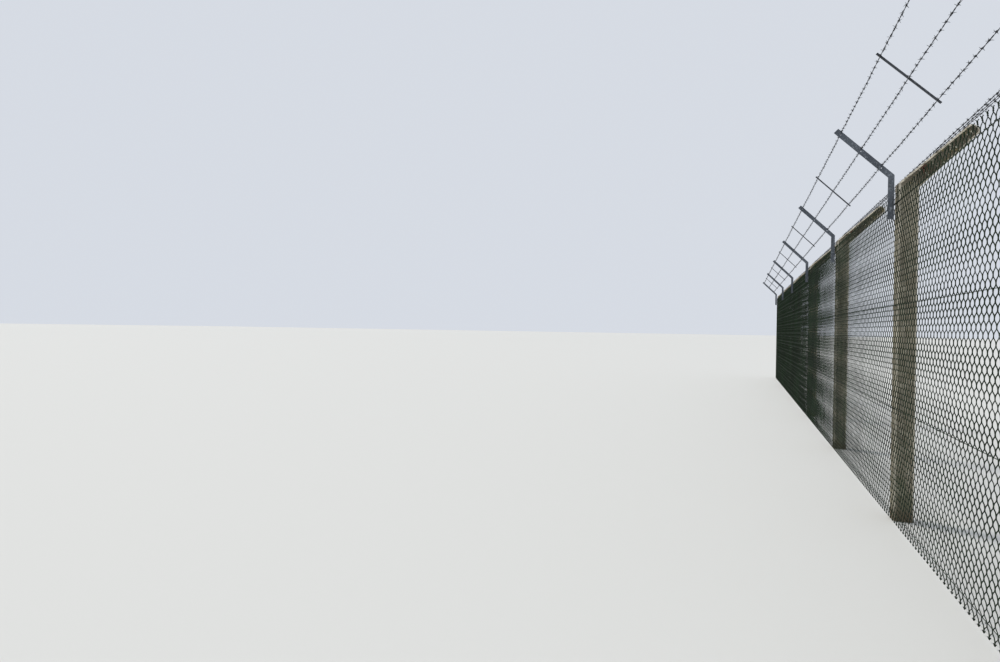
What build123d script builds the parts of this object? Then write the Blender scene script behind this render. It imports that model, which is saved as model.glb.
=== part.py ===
from build123d import *
from math import cos, hypot, radians, sin
import os

# Perimeter fence: cranked concrete posts, chain-link fabric on their outer face, a steel
# extension arm on every post and three barbed strands on each side of the top.
# X runs along the fence, -Y is the outside, +Z is up. The origin is the middle of the foot
# of the centre post. All sizes are in millimetres.

# Layout
bay_length = 3000.0
bay_count = 6
seat_gap = 0.3

# Concrete posts
post_side = 125.0
post_arris = 12.0
knee_height = 2400.0
crank_angle = 42.0
crank_reach = 580.0
crank_root_depth = 118.0
crank_tip_depth = 84.0
crank_tip_radius = 34.0
crank_hole_diameter = 12.0
crank_hole_place = 171.0
crank_hole_depth = 32.0
crank_strand_places = (110.0, 322.0, 534.0)

# Chain-link fabric of 50 mm openings, strained so that its diamonds stand taller than wide,
# and woven to the nearest whole number of diamonds
diamond_width = 64.0
diamond_height = 76.0
mesh_height = 2285.0
mesh_wire_width = 4.8
mesh_wire_depth = 4.4
mesh_layer_gap = 6.4
mesh_foot_height = 20.0
selvedge_height = 6.0
selvedge_lip = 0.4

# Line wires that carry the fabric
wire_sides = 6
line_wire_diameter = 4.0
line_wire_names = ("bottom", "lower", "upper", "top")

# Steel extension arms, an angle section
arm_flange = 40.0
arm_thickness = 5.0
arm_angle = 45.0
arm_leg_foot_height = 2150.0
arm_knee_height = 2466.0
arm_reach = 515.0
arm_strand_places = (110.0, 297.0, 484.0)
arm_hole_diameter = 12.0
arm_hole_setback = 10.0

# Small holes are cut with few sides
hole_sides = 8

# Barbed strands
strand_diameter = 5.6

# Droppers that hold the outer strands apart in the middle of each bay, the last one set back
dropper_width = 11.0
dropper_thickness = 5.0
dropper_overhang = 24.0
last_dropper_setback = 135.0
dropper_hole_gap = 0.3

# Worked-out places
post_half = post_side / 2
fence_length = bay_length * bay_count
fence_start = -fence_length / 2
post_places = [fence_start + i * bay_length for i in range(bay_count + 1)]
dropper_places = [place + bay_length / 2 for place in post_places[:-1]]
dropper_places[-1] -= last_dropper_setback
mesh_pitch_count = round(bay_length / diamond_width)
mesh_pitch = bay_length / mesh_pitch_count
mesh_row_count = round(mesh_height / diamond_height)
mesh_row = mesh_height / mesh_row_count
mesh_top = mesh_foot_height + mesh_height

line_wire_y = -post_half - seat_gap - line_wire_diameter / 2
mesh_back = line_wire_y - line_wire_diameter / 2 - seat_gap
rear_base = mesh_back - selvedge_lip
rear_apex = rear_base - mesh_wire_depth
front_base = rear_apex - mesh_layer_gap
front_apex = front_base - mesh_wire_depth
mesh_front = front_apex - selvedge_lip
lowest_line_wire = mesh_foot_height + mesh_row / 2
line_wire_rise = (mesh_top - mesh_row / 2 - lowest_line_wire) / (len(line_wire_names) - 1)
arm_back = mesh_front - seat_gap

crank_out = (cos(radians(crank_angle)), sin(radians(crank_angle)))
crank_up = (-crank_out[1], crank_out[0])
arm_out = (-cos(radians(arm_angle)), sin(radians(arm_angle)))
arm_up = (arm_out[1], -arm_out[0])


def travel(start, direction, distance):
    """The point at a distance from start, in the plane across the fence (y, z)."""
    return (start[0] + direction[0] * distance, start[1] + direction[1] * distance)


crank_corner = (-post_half, knee_height)
arm_knee = (arm_back, arm_knee_height)
strand_lift = strand_diameter / 2 + seat_gap
inner_strands = [
    travel(travel(crank_corner, crank_out, place), crank_up, strand_lift)
    for place in crank_strand_places
]
outer_strands = [
    travel(travel(arm_knee, arm_out, place), arm_up, strand_lift)
    for place in arm_strand_places
]


def across(points, thickness, centre=0.0):
    """A plate of the outline (y, z), of a thickness along the fence about centre."""
    outline = make_face(Polyline(*points, close=True))
    plate = extrude(Plane.YZ * outline, amount=thickness / 2, both=True)
    return Pos(centre, 0, 0) * plate


def hole_along(diameter, place, length, centre=0.0):
    """The cutter of a hole along the fence at place (y, z)."""
    section = Plane.YZ * RegularPolygon(diameter / 2, hole_sides)
    return Pos(centre, *place) * extrude(section, amount=length / 2, both=True)


def strained_wire(diameter, place):
    """A wire from end to end of the fence at place (y, z), with few sides."""
    section = Plane.YZ * RegularPolygon(diameter / 2, wire_sides)
    length = fence_length + 2 * post_half
    return Pos(0, *place) * extrude(section, amount=length / 2, both=True)


def concrete_post():
    """A square post whose top is cranked inwards, with a rounded tip and one tie hole."""
    tip_top = travel(crank_corner, crank_out, crank_reach)
    tip_low = travel(tip_top, crank_up, -crank_tip_depth)
    root_low = travel(crank_corner, crank_up, -crank_root_depth)
    run = (tip_low[0] - root_low[0], tip_low[1] - root_low[1])
    armpit = root_low[1] + run[1] * (post_half - root_low[0]) / run[0]
    outline = make_face(
        Polyline(
            (-post_half, 0),
            crank_corner,
            tip_top,
            tip_low,
            (post_half, armpit),
            (post_half, 0),
            close=True,
        )
    )
    tip_corners = outline.vertices().sort_by(Axis.X)[-2:]
    outline = fillet(tip_corners, crank_tip_radius)
    body = extrude(Plane.YZ * outline, amount=post_half, both=True)
    sides = body.faces().filter_by(Axis.X)
    arrises = sides.edges().filter_by(lambda edge: edge.center().Z > 0)
    body = chamfer(arrises, post_arris)
    above_hole = travel(crank_corner, crank_out, crank_hole_place)
    hole_middle = travel(above_hole, crank_up, -crank_hole_depth)
    return body - hole_along(crank_hole_diameter, hole_middle, post_side)


def arm_strip(width):
    """The outline of the bent arm seen along the fence, for a flange of this width."""
    foot = (arm_back, arm_leg_foot_height)
    tip = travel(arm_knee, arm_out, arm_reach)
    leg_in = (-1.0, 0.0)
    run_in = (-arm_up[0], -arm_up[1])
    mitre = width / (1 + leg_in[0] * run_in[0] + leg_in[1] * run_in[1])
    bend = (leg_in[0] + run_in[0], leg_in[1] + run_in[1])
    return [
        foot,
        arm_knee,
        tip,
        travel(tip, run_in, width),
        travel(arm_knee, bend, mitre),
        travel(foot, leg_in, width),
    ]


def extension_arm():
    """A bent steel angle: one flange lies on the fabric, the other shows its three holes."""
    web = across(arm_strip(arm_flange), arm_thickness, (arm_flange - arm_thickness) / 2)
    arm = web + across(arm_strip(arm_thickness), arm_flange)
    for place in arm_strand_places:
        middle = travel(
            travel(arm_knee, arm_out, place - arm_hole_setback), arm_up, -arm_flange / 2
        )
        arm -= hole_along(arm_hole_diameter, middle, arm_flange, arm_flange / 2)
    return arm


def dropper():
    """A flat bar square to the outer strands, which pass through its three holes."""
    low = travel(outer_strands[0], arm_out, -dropper_overhang)
    high = travel(outer_strands[-1], arm_out, dropper_overhang)
    half = dropper_width / 2
    bar = across(
        [
            travel(low, arm_up, -half),
            travel(high, arm_up, -half),
            travel(high, arm_up, half),
            travel(low, arm_up, half),
        ],
        dropper_thickness,
    )
    hole = strand_diameter + 2 * dropper_hole_gap
    for strand in outer_strands:
        bar -= Pos(0, *strand) * Box(dropper_width, hole, hole, rotation=(-arm_angle, 0, 0))
    return bar


def mesh_wire(lean, side_x, side_z, base_y, apex_y, left, right):
    """The rim points at both ends of one straight mesh wire with a three-sided section.

    The wire follows the diamonds' sides, up to +X for a lean of 1 and up to -X for -1, and
    passes through (side_x, side_z). It is cut by the bay's sides and the selvedge faces."""
    half = mesh_wire_width / 2
    run = lean * mesh_pitch / mesh_row
    slant = hypot(mesh_pitch, mesh_row)
    low_cut = mesh_foot_height + selvedge_height / 2
    high_cut = mesh_top - selvedge_height / 2
    ends = []
    for upper in (False, True):
        level = high_cut if upper else low_cut
        wall = right if (lean > 0) == upper else left
        reach = side_x + run * (level - side_z)
        on_wall = reach > right or reach < left
        rim = []
        for shift, y in ((-half, base_y), (half, base_y), (0.0, apex_y)):
            x = side_x - lean * shift * mesh_row / slant
            z = side_z + shift * mesh_pitch / slant
            if on_wall:
                rim.append((wall, y, z + (wall - x) / run))
            else:
                rim.append((x + run * (level - z), y, level))
        ends.append((on_wall, rim))
    return ends


def ring(points):
    """A closed wire of straight edges."""
    return Wire.make_polygon([Vector(*point) for point in points], close=True)


def chain_link_bay():
    """One bay of chain-link fabric as a single solid, its left side at x = 0.

    All front diagonals lean one way and all rear diagonals the other way, as in the woven
    fabric, and both sets end in the twisted selvedge at the foot and the top."""
    left = seat_gap / 2
    right = bay_length - seat_gap / 2
    half_selvedge = selvedge_height / 2
    low_level = mesh_foot_height + half_selvedge
    high_level = mesh_top - half_selvedge
    faces = []
    low_rims = []
    high_rims = []
    for lean, base_y, apex_y in ((1, front_base, front_apex), (-1, rear_base, rear_apex)):
        for step in range(-mesh_row_count, mesh_pitch_count):
            start = (step + 0.5) * mesh_pitch
            foot_x = start if lean > 0 else bay_length - start
            low, high = mesh_wire(
                lean, foot_x, mesh_foot_height, base_y, apex_y, left, right
            )
            for i in range(3):
                j = (i + 1) % 3
                quad = [low[1][i], low[1][j], high[1][j], high[1][i]]
                faces.append(Face(ring(quad)))
            for (on_wall, rim), rims in ((low, low_rims), (high, high_rims)):
                if on_wall:
                    faces.append(Face(ring(rim)))
                else:
                    rims.append(rim)
    for level, outward, rims in (
        (low_level, -selvedge_height, low_rims),
        (high_level, selvedge_height, high_rims),
    ):
        near = [
            (left, mesh_back, level),
            (right, mesh_back, level),
            (right, mesh_front, level),
            (left, mesh_front, level),
        ]
        far = [(x, y, z + outward) for x, y, z in near]
        faces.append(Face(ring(near), [ring(rim) for rim in rims]))
        faces.append(Face(ring(far)))
        for i in range(4):
            j = (i + 1) % 4
            faces.append(Face(ring([near[i], near[j], far[j], far[i]])))
    return Solid(Shell(faces))


def fence_parts():
    """Every named piece of the fence in its place."""
    post = concrete_post()
    arm = extension_arm()
    for number, x in enumerate(post_places, 1):
        yield f"post_{number}", Pos(x, 0, 0) * post
        yield f"extension_arm_{number}", Pos(x, 0, 0) * arm

    bay = chain_link_bay()
    bar = dropper()
    for number, x in enumerate(post_places[:-1], 1):
        yield f"chain_link_bay_{number}", Pos(x, 0, 0) * bay
    for number, x in enumerate(dropper_places, 1):
        yield f"dropper_{number}", Pos(x, 0, 0) * bar

    for step, name in enumerate(line_wire_names):
        place = (line_wire_y, lowest_line_wire + step * line_wire_rise)
        yield f"line_wire_{name}", strained_wire(line_wire_diameter, place)
    for side, strands in (("inner", inner_strands), ("outer", outer_strands)):
        for level, place in zip(("low", "middle", "high"), strands):
            yield f"{side}_barbed_wire_{level}", strained_wire(strand_diameter, place)


os.makedirs("parts", exist_ok=True)
for name, piece in fence_parts():
    export_step(piece, f"parts/{name}.step")
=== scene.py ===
import math

import bpy
from bpy.props import FloatProperty, FloatVectorProperty, IntProperty, PointerProperty
from mathutils import Matrix, Vector


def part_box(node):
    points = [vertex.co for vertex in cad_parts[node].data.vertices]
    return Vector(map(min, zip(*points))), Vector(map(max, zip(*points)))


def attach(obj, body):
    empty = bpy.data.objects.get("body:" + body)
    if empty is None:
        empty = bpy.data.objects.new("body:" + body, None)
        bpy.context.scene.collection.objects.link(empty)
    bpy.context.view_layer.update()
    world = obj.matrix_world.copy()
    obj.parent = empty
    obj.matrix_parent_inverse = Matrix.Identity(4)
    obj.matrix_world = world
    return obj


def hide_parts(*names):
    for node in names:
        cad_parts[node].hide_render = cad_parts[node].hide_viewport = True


bl_info = {
    "name": "Chain-link security fence",
    "version": (1, 0, 0),
    "blender": (4, 5, 0),
    "location": "3D View > Sidebar > Fence",
    "description": "Weaves the fabric, winds the barbed strands and weathers a security fence",
    "category": "Object",
}

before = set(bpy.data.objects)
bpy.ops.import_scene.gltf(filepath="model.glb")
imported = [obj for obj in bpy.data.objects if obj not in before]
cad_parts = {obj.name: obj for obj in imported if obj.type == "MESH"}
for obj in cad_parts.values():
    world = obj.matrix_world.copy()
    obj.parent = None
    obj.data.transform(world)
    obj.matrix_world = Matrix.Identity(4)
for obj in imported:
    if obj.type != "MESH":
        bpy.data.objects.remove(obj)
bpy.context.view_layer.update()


def nodes_named(prefix):
    """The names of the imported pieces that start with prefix, in order."""
    return sorted(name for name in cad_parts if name.startswith(prefix))


def middle(node):
    """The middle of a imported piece's box."""
    low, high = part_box(node)
    return (low + high) / 2


POSTS = nodes_named("post_")
ARMS = nodes_named("extension_arm_")
BAYS = nodes_named("chain_link_bay_")
DROPPERS = nodes_named("dropper_")
LINE_WIRES = nodes_named("line_wire_")
INNER_STRANDS = nodes_named("inner_barbed_wire_")
OUTER_STRANDS = nodes_named("outer_barbed_wire_")

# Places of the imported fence, in metres
POST_PLACES = [middle(post).x for post in POSTS]
BAY_LENGTH = POST_PLACES[1] - POST_PLACES[0]
POST_LOW, POST_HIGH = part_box(POSTS[0])
POST_SIDE = POST_HIGH.x - POST_LOW.x
POST_OUTER_FACE = POST_LOW.y
POST_INNER_FACE = POST_OUTER_FACE + POST_SIDE
FABRIC_LOW, FABRIC_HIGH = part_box(BAYS[0])
ARM_LOW, ARM_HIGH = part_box(ARMS[0])
STRAND_LOW, STRAND_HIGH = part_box(OUTER_STRANDS[0])
LINE_WIRE_LOW, LINE_WIRE_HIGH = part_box(LINE_WIRES[0])
ARM_HALF_WIDTH = (ARM_HIGH.x - ARM_LOW.x) / 2
LINE_WIRE_HEIGHTS = sorted(middle(wire).z for wire in LINE_WIRES)


def along_strands(strands):
    """Where the strands of one side lie, their step outwards and the way up from them."""
    places = sorted((middle(strand) for strand in strands), key=lambda place: place.z)
    step = (places[-1] - places[0]) / (len(places) - 1)
    out = step.normalized()
    side = 1 if out.y > 0 else -1
    return places[0], step, out, Vector((0, -out.z * side, abs(out.y)))


OUTER_PLACE, OUTER_STEP, ARM_OUT, ARM_UP = along_strands(OUTER_STRANDS)
INNER_PLACE, INNER_STEP, CRANK_OUT, CRANK_UP = along_strands(INNER_STRANDS)
STRAND_RADIUS = (STRAND_HIGH.y - STRAND_LOW.y) / 2


class Graph:
    """Adds nodes to a shader or geometry tree and links them on the way."""

    def __init__(self, tree):
        self.tree = tree

    def node(self, kind, inputs=None, **settings):
        """A new node with these settings, its inputs given values or linked."""
        node = self.tree.nodes.new(kind)
        for name, value in settings.items():
            setattr(node, name, value)
        for key, value in (inputs or {}).items():
            self.feed(node.inputs[key], value)
        return node

    def out(self, kind, inputs=None, **settings):
        """The first output of a new node."""
        return self.node(kind, inputs, **settings).outputs[0]

    def feed(self, socket, value):
        """Links a socket or gives it a plain value."""
        if isinstance(value, bpy.types.NodeSocket):
            self.tree.links.new(value, socket)
        else:
            socket.default_value = value

    def math(self, operation, first, second=0.0, third=0.0, clamp=False):
        """The result of a Math node."""
        inputs = {0: first, 1: second, 2: third}
        return self.out("ShaderNodeMath", inputs, operation=operation, use_clamp=clamp)

    def add(self, first, second):
        return self.math("ADD", first, second)

    def less(self, first, second):
        return self.math("SUBTRACT", first, second)

    def times(self, first, second):
        return self.math("MULTIPLY", first, second)

    def over(self, first, second):
        return self.math("DIVIDE", first, second)

    def vector(self, x=0.0, y=0.0, z=0.0):
        """A vector of three values or sockets."""
        return self.out("ShaderNodeCombineXYZ", {0: x, 1: y, 2: z})

    def split(self, vector):
        """The three outputs of a vector."""
        return self.node("ShaderNodeSeparateXYZ", {0: vector}).outputs

    def move(self, vector, by):
        """A vector plus another."""
        return self.out("ShaderNodeVectorMath", {0: vector, 1: by}, operation="ADD")

    def stretch(self, vector, by):
        """A vector multiplied by another, part by part."""
        return self.out("ShaderNodeVectorMath", {0: vector, 1: by}, operation="MULTIPLY")

    def noise(self, place, scale, detail=4.0, roughness=0.55, distortion=0.0):
        """Cloudy noise from 0 to 1."""
        inputs = {
            "Vector": place,
            "Scale": scale,
            "Detail": detail,
            "Roughness": roughness,
            "Distortion": distortion,
        }
        return self.out("ShaderNodeTexNoise", inputs)

    def cells(self, place, scale, feature="F1", output="Distance"):
        """One output of a Voronoi texture."""
        inputs = {"Vector": place, "Scale": scale}
        return self.node("ShaderNodeTexVoronoi", inputs, feature=feature).outputs[output]

    def band(self, value, low, high):
        """A smooth rise from 0 at low to 1 at high."""
        inputs = {"Value": value, "From Min": low, "From Max": high}
        kind = "ShaderNodeMapRange"
        return self.out(kind, inputs, interpolation_type="SMOOTHSTEP")

    def blend(self, share, first, second):
        """A colour mixed from two colours."""
        inputs = {0: share, 6: colour(first), 7: colour(second)}
        return self.node("ShaderNodeMix", inputs, data_type="RGBA").outputs[2]

    def tint(self, share, first, second, blend_type="MULTIPLY"):
        """A colour multiplied by another by a share."""
        inputs = {0: share, 6: colour(first), 7: colour(second)}
        kind = "ShaderNodeMix"
        return self.node(kind, inputs, data_type="RGBA", blend_type=blend_type).outputs[2]


def colour(value):
    """A colour with its alpha, or the socket that it already is."""
    if isinstance(value, bpy.types.NodeSocket):
        return value
    return (*value[:3], 1.0)


def new_material(name, metallic=0.0):
    """A material, its graph, its shader and the place that its patterns read."""
    material = bpy.data.materials.new(name)
    material.use_nodes = True
    graph = Graph(material.node_tree)
    shader = material.node_tree.nodes["Principled BSDF"]
    shader.inputs["Metallic"].default_value = metallic
    coordinates = graph.node("ShaderNodeTexCoord")
    return material, graph, shader, coordinates


def set_surface(graph, shader, base, roughness, height, depth, strength=1.0):
    """Feeds a shader its colour, its roughness and the bump of a height."""
    graph.feed(shader.inputs["Base Color"], base)
    graph.feed(shader.inputs["Roughness"], roughness)
    bump = graph.node("ShaderNodeBump", {"Height": height, "Distance": depth, "Strength": strength})
    graph.feed(shader.inputs["Normal"], bump.outputs[0])


def concrete_material(look):
    """Old cast concrete: cloudy, streaked, lichened, with pale worn arrises."""
    material, graph, shader, coordinates = new_material("weathered_concrete")
    place = coordinates.outputs["Object"]
    along, across, height = graph.split(place)
    normal = graph.split(coordinates.outputs["Normal"])
    broad = graph.noise(place, 2.6, 5, 0.6)
    cloud = graph.noise(place, 17, 6, 0.65)
    grain = graph.noise(place, 240, 3, 0.7)
    stones = graph.cells(place, 95)

    base = graph.blend(graph.band(broad, 0.3, 0.7), look.shade_colour, look.body_colour)
    base = graph.blend(graph.band(cloud, 0.45, 0.75), base, look.pale_colour)
    base = graph.tint(graph.band(stones, 0.42, 0.1), base, (0.86, 0.8, 0.7))
    base = graph.tint(graph.band(grain, 0.58, 0.4), base, (0.62, 0.6, 0.56))

    streaks = graph.noise(graph.stretch(place, (38, 38, 1.7)), 1.0, 4, 0.6)
    base = graph.tint(graph.times(graph.band(streaks, 0.5, 0.72), 0.75), base, (0.42, 0.39, 0.33))

    crank = graph.band(height, 2.3, 2.45)
    base = graph.tint(graph.times(crank, 0.8), base, look.crank_tint)
    foot = graph.band(height, 0.55, 0.0)
    damp = graph.noise(place, 7.5, 5, 0.65, 0.4)
    green = graph.band(graph.add(damp, graph.times(foot, 0.16)), 0.53, 0.72)
    base = graph.blend(graph.times(green, 0.55), base, look.algae_colour)

    crust = graph.noise(place, 26, 6, 0.72, 0.6)
    crust = graph.add(crust, graph.times(crank, 0.07))
    base = graph.blend(graph.times(graph.band(crust, 0.63, 0.69), 0.8), base, look.lichen_colour)
    spots = graph.noise(graph.move(place, (4.1, 7.7, 1.3)), 44, 4, 0.6, 0.3)
    spots = graph.add(spots, graph.times(crank, 0.04))
    base = graph.blend(graph.band(spots, 0.66, 0.7), base, look.pale_lichen_colour)

    sides = graph.math("ABSOLUTE", normal[0])
    arris = graph.times(graph.band(sides, 0.45, 0.6), graph.band(sides, 0.92, 0.8))
    arris = graph.times(arris, graph.band(cloud, 0.32, 0.5))
    base = graph.blend(graph.times(arris, 0.6), base, look.edge_colour)

    hole_y, hole_z = CRANK_HOLE
    from_hole = graph.vector(0.0, graph.less(across, hole_y), graph.less(height, hole_z))
    distance = graph.node("ShaderNodeVectorMath", {0: from_hole}, operation="LENGTH").outputs[1]
    ragged = graph.add(distance, graph.times(graph.less(cloud, 0.5), 0.05))
    run = graph.math("ABSOLUTE", graph.less(across, hole_y))
    run = graph.band(graph.add(run, graph.times(graph.less(cloud, 0.5), 0.02)), 0.012, 0.002)
    run = graph.times(run, graph.band(height, hole_z - 0.1, hole_z - 0.005))
    run = graph.times(run, graph.band(height, hole_z + 0.01, hole_z - 0.01))
    rust = graph.math("MAXIMUM", graph.band(ragged, 0.027, 0.012), graph.times(run, 0.8))
    rust = graph.times(rust, graph.band(sides, 0.8, 0.95))
    base = graph.blend(graph.times(rust, 0.85), base, look.rust_colour)

    mud = graph.band(graph.add(height, graph.times(cloud, -0.16)), 0.06, -0.06)
    base = graph.blend(graph.times(mud, 0.8), base, look.mud_colour)

    pits = graph.band(graph.cells(place, 46), 0.16, 0.06)
    relief = graph.add(graph.times(cloud, 0.5), graph.times(grain, 0.35))
    relief = graph.less(relief, graph.times(pits, 0.5))
    relief = graph.add(relief, graph.times(graph.band(crust, 0.6, 0.66), 0.25))
    rough = graph.add(graph.times(grain, 0.12), 0.84)
    set_surface(graph, shader, base, rough, relief, 0.004)
    shader.inputs["Specular IOR Level"].default_value = 0.3
    return material


def zinc_material(name, look, rust_level=0.62, tone=1.0, metallic=0.3):
    """Dull hot-dip zinc: faint spangle, white bloom, dirt, and rust that breaks through."""
    material, graph, shader, coordinates = new_material(name, metallic)
    place = coordinates.outputs["Object"]
    broad = graph.noise(place, 5, 4, 0.6)
    cloud = graph.noise(place, 42, 5, 0.65)
    grain = graph.noise(place, 420, 2, 0.6)
    spangle = graph.split(graph.cells(place, 130, output="Color"))[0]

    base = graph.blend(graph.band(broad, 0.3, 0.7), look.shade_colour, look.body_colour)
    base = graph.tint(graph.times(spangle, 0.35), base, (0.6, 0.66, 0.74))
    bloom = graph.band(graph.add(cloud, graph.times(broad, 0.2)), 0.64, 0.78)
    base = graph.blend(graph.times(bloom, 0.55), base, look.bloom_colour)
    dirt = graph.band(graph.noise(graph.stretch(place, (60, 60, 7)), 1.0, 4, 0.6), 0.5, 0.75)
    base = graph.tint(graph.times(dirt, 0.6), base, (0.4, 0.38, 0.34))
    base = graph.tint(1.0, base, (tone, tone, tone))
    breakout = graph.add(graph.noise(place, 19, 6, 0.75, 0.8), graph.times(cloud, 0.12))
    rust = graph.band(breakout, rust_level, rust_level + 0.07)
    hue = graph.blend(grain, look.rust_colour, look.deep_rust_colour)
    base = graph.blend(rust, base, hue)

    rough = graph.add(graph.times(cloud, 0.25), graph.add(graph.times(rust, 0.25), 0.4))
    relief = graph.add(graph.times(grain, 0.3), graph.times(rust, 0.6))
    relief = graph.add(relief, graph.times(cloud, 0.25))
    set_surface(graph, shader, base, rough, relief, 0.0012)
    return material


def coated_wire_material(look):
    """Dark green plastic-coated wire: slightly glossy, bleached in places, lighter on top from
    settled dust and painted sunlight.
    """
    material, graph, shader, coordinates = new_material("coated_wire")
    place = coordinates.outputs["Object"]
    upward = graph.split(coordinates.outputs["Normal"])[2]
    broad = graph.noise(place, 1.6, 4, 0.6)
    cloud = graph.noise(place, 60, 4, 0.6)
    fine = graph.noise(place, 700, 2, 0.6)
    base = graph.blend(graph.band(broad, 0.35, 0.68), look.coat_colour, look.faded_coat_colour)
    # Upward faces lightened in patches: partly settled dust, partly painted sunlight on the wire's
    # upper side.
    dust_and_painted_sunlight = graph.times(graph.band(upward, 0.1, 0.9), graph.band(cloud, 0.42, 0.66))
    base = graph.blend(graph.times(dust_and_painted_sunlight, 0.4), base, look.dust_and_painted_sunlight_colour)
    algae = graph.band(graph.noise(place, 9, 5, 0.7), 0.58, 0.7)
    base = graph.blend(graph.times(algae, 0.35), base, look.wire_algae_colour)
    rough = graph.add(graph.times(cloud, 0.25), graph.add(graph.times(dust_and_painted_sunlight, 0.2), 0.42))
    relief = graph.add(graph.times(fine, 0.5), graph.times(cloud, 0.5))
    set_surface(graph, shader, base, rough, relief, 0.0004)
    shader.inputs["Specular IOR Level"].default_value = 0.18
    return material


# The gap behind each arm and the thickness of its section
ARM_SEAT = 0.0003
ARM_THICKNESS = 0.005

# The middle of the tie hole through each crank, across the fence and up
CRANK_HOLE = (0.086, 2.4906)


def input_socket(tree, name, kind):
    """Adds a named input of a kind to a geometry tree."""
    return tree.interface.new_socket(name=name, in_out="INPUT", socket_type=f"NodeSocket{kind}")


def floats(*labels):
    """Inputs of a geometry tree that take plain numbers."""
    return dict.fromkeys(labels, "Float")


def new_geometry_tree(name, inputs):
    """A geometry tree with named inputs, its graph and the outputs of its input node."""
    tree = bpy.data.node_groups.new(name, "GeometryNodeTree")
    input_socket(tree, "Geometry", "Geometry")
    for label, kind in inputs.items():
        input_socket(tree, label, kind)
    tree.interface.new_socket(name="Geometry", in_out="OUTPUT", socket_type="NodeSocketGeometry")
    graph = Graph(tree)
    return tree, graph, graph.node("NodeGroupInput").outputs


def end_geometry_tree(graph, geometry, material, smooth=True):
    """Realizes the instances, smooths them or not, sets the material and ends the tree."""
    real = graph.out("GeometryNodeRealizeInstances", {0: geometry})
    inputs = {"Geometry": real, "Shade Smooth": smooth}
    shaded = graph.out("GeometryNodeSetShadeSmooth", inputs)
    inputs = {"Geometry": shaded, "Material": material}
    finished = graph.out("GeometryNodeSetMaterial", inputs)
    graph.node("NodeGroupOutput", {0: finished})


def grow(name, tree, values, start=None):
    """Runs a geometry tree on a new object and keeps the result as its plain mesh."""
    mesh = start or bpy.data.meshes.new(name)
    piece = bpy.data.objects.new(name, mesh)
    bpy.context.scene.collection.objects.link(piece)
    modifier = piece.modifiers.new(tree.name, "NODES")
    modifier.node_group = tree
    for item in tree.interface.items_tree:
        if item.in_out == "INPUT" and item.name in values:
            modifier[item.identifier] = values[item.name]
    view_layer = bpy.context.evaluated_depsgraph_get()
    grown = bpy.data.meshes.new_from_object(piece.evaluated_get(view_layer))
    piece.modifiers.remove(modifier)
    piece.data = grown
    grown.name = name
    return piece


def keep(piece, slot, *replaced):
    """Makes a finished piece part of the fence."""
    if not piece.data.polygons:
        raise RuntimeError(f"{piece.name} has no faces")
    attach(piece, "root")
    if replaced:
        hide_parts(*replaced)


def ring_radius(diameter, sides):
    """The radius of a ring of few sides that shows as wide as a round wire."""
    return diameter * math.pi / (2 * sides * math.sin(math.pi / sides))


def wire_from(graph, points, radius, sides, tips=None):
    """A capped tube along the points of a mesh line, thinner where tips is less than 1."""
    curve = graph.out("GeometryNodeMeshToCurve", {"Mesh": points})
    if tips is not None:
        curve = graph.out("GeometryNodeSetCurveRadius", {"Curve": curve, "Radius": tips})
    ring = graph.node("GeometryNodeCurvePrimitiveCircle", {"Resolution": sides, "Radius": radius})
    inputs = {"Curve": curve, "Profile Curve": ring.outputs[0], "Fill Caps": True}
    if tips is not None:
        inputs["Scale"] = tips
    return graph.out("GeometryNodeCurveToMesh", inputs)


def points_line(graph, count, step=None):
    """A straight line of so many points, ready to be moved."""
    inputs = {"Count": count}
    if step is not None:
        inputs["Offset"] = step
    return graph.out("GeometryNodeMeshLine", inputs, mode="OFFSET")


def placed(graph, geometry, place):
    """The geometry with its points moved to a place."""
    inputs = {"Geometry": geometry, "Position": place}
    return graph.out("GeometryNodeSetPosition", inputs)


def shifted(graph, geometry, offset):
    """The geometry with its points moved by an offset."""
    inputs = {"Geometry": geometry, "Offset": offset}
    return graph.out("GeometryNodeSetPosition", inputs)


def joined(graph, *pieces):
    """Several geometries as one."""
    join = graph.node("GeometryNodeJoinGeometry")
    for piece in pieces:
        graph.tree.links.new(piece, join.inputs[0])
    return join.outputs[0]


FOOT_POINTS = 2
TWIST_POINTS = 5
TIP_POINTS = 1


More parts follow.
